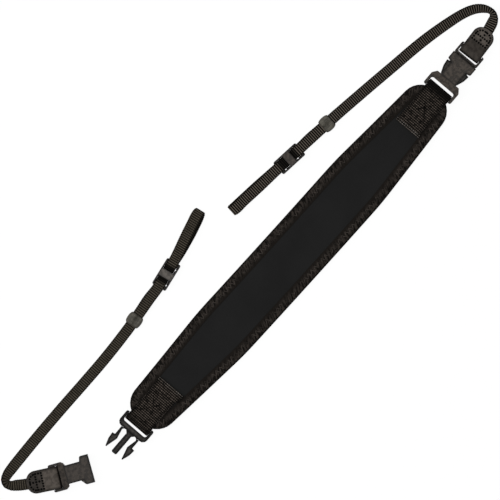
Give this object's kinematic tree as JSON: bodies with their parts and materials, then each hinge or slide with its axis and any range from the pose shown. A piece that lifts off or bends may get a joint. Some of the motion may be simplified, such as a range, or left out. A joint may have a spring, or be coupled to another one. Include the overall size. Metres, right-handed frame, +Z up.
{
  "type": "padded neck strap",
  "caption": "Long padded neck strap with a quick-release buckle at each end and thin adjustable connector straps that end in webbing loops; one buckle clipped, one open.",
  "frame": {"origin": "middle of the pad's underside, on the surface that the strap lies on", "axes": "+X along the pad towards the clipped buckle, +Y across the pad towards the side where the thin straps lie, +Z up, out of the pad's face"},
  "size_m": [0.614, 0.122, 0.0106],
  "materials": {
    "foam_rubber": "matt black foam rubber",
    "pad_cloth": "smooth matt black knit",
    "binding_tape": "black woven tape with zigzag stitching",
    "wide_webbing": "black webbing with coarse cross ribs",
    "thin_webbing": "black webbing with fine cross ribs",
    "buckle_plastic": "satin charcoal moulding",
    "slider_plastic": "satin charcoal moulding",
    "tab_leather": "grained black leather with black stitching",
    "keeper_rubber": "dark grey rubber with fine ridges"
  },
  "bodies": {
    "pad": {"pad_foam": "foam_rubber", "pad_face_panel": "pad_cloth", "pad_back_panel": "pad_cloth", "pad_binding": "binding_tape", "upper_webbing": "wide_webbing", "lower_webbing": "wide_webbing", "upper_socket": "buckle_plastic"},
    "upper_connector": {"upper_plug": "buckle_plastic", "upper_tab": "tab_leather", "upper_strap_run": "thin_webbing", "upper_strap_loop": "thin_webbing"},
    "upper_left_arm": {"upper_prong_left": "buckle_plastic"},
    "upper_right_arm": {"upper_prong_right": "buckle_plastic"},
    "upper_slider_body": {"upper_slider": "slider_plastic"},
    "upper_keeper_body": {"upper_keeper": "keeper_rubber"},
    "lower_plug_body": {"lower_plug": "buckle_plastic"},
    "lower_left_arm": {"lower_prong_left": "buckle_plastic"},
    "lower_right_arm": {"lower_prong_right": "buckle_plastic"},
    "lower_connector": {"lower_tab": "tab_leather", "lower_strap_run": "thin_webbing", "lower_strap_loop": "thin_webbing"},
    "lower_socket_body": {"lower_socket": "buckle_plastic"},
    "lower_slider_body": {"lower_slider": "slider_plastic"},
    "lower_keeper_body": {"lower_keeper": "keeper_rubber"}
  },
  "joints": [
    {"name": "upper_release", "type": "slide", "parent": "pad", "child": "upper_connector", "axis": [0.9994, 0.0349, 0], "range_m": [0, 0.03], "deforming": ["upper_prong_left", "upper_prong_right"]},
    {"name": "upper_prong_left_flex", "type": "hinge", "parent": "upper_connector", "child": "upper_left_arm", "pos_m": [0.2379, -0.00544, 0.0045], "axis": [0, 0, -1], "range_deg": [0, 9], "stiffness_Nm_per_rad": 0.2},
    {"name": "upper_prong_right_flex", "type": "hinge", "parent": "upper_connector", "child": "upper_right_arm", "pos_m": [0.23726, 0.01275, 0.0045], "axis": [0, 0, 1], "range_deg": [0, 9], "stiffness_Nm_per_rad": 0.2},
    {"name": "upper_slider_slide", "type": "slide", "parent": "upper_connector", "child": "upper_slider_body", "axis": [-0.9959, 0.0906, 0], "range_m": [-0.012, 0.025], "deforming": ["upper_strap_run", "upper_strap_loop"]},
    {"name": "upper_keeper_slide", "type": "slide", "parent": "upper_connector", "child": "upper_keeper_body", "axis": [-0.9959, 0.0906, 0], "range_m": [-0.012, 0.01], "deforming": ["upper_strap_run", "upper_strap_loop"]},
    {"name": "lower_plug_tilt", "type": "hinge", "parent": "pad", "child": "lower_plug_body", "pos_m": [-0.2016, 0.0005, 0.0039], "axis": [-0.0314, 0.9995, 0], "range_deg": [0, 60]},
    {"name": "lower_prong_left_flex", "type": "hinge", "parent": "lower_plug_body", "child": "lower_left_arm", "pos_m": [-0.21291, -0.00896, 0.0039], "axis": [0, 0, -1], "range_deg": [0, 11], "stiffness_Nm_per_rad": 0.2},
    {"name": "lower_prong_right_flex", "type": "hinge", "parent": "lower_plug_body", "child": "lower_right_arm", "pos_m": [-0.21348, 0.00923, 0.0039], "axis": [0, 0, 1], "range_deg": [0, 11], "stiffness_Nm_per_rad": 0.2},
    {"name": "lower_connector_lift", "type": "slide", "parent": "pad", "child": "lower_connector", "axis": [0, 0, 1], "range_m": [0, 0.1]},
    {"name": "lower_socket_tilt", "type": "hinge", "parent": "lower_connector", "child": "lower_socket_body", "pos_m": [-0.2887, 0.0233, 0.0045], "axis": [-0.5314, -0.8471, 0], "range_deg": [0, 60]},
    {"name": "lower_slider_slide", "type": "slide", "parent": "lower_connector", "child": "lower_slider_body", "axis": [0.9826, 0.1857, 0], "range_m": [-0.012, 0.02], "deforming": ["lower_strap_run", "lower_strap_loop"]},
    {"name": "lower_keeper_slide", "type": "slide", "parent": "lower_connector", "child": "lower_keeper_body", "axis": [0.9914, 0.1305, 0], "range_m": [-0.012, 0.01], "deforming": ["lower_strap_run", "lower_strap_loop"]}
  ],
  "couplings": [
    {"joint": "upper_prong_right_flex", "follows": "upper_prong_left_flex", "ratio": 1},
    {"joint": "lower_prong_right_flex", "follows": "lower_prong_left_flex", "ratio": 1}
  ]
}
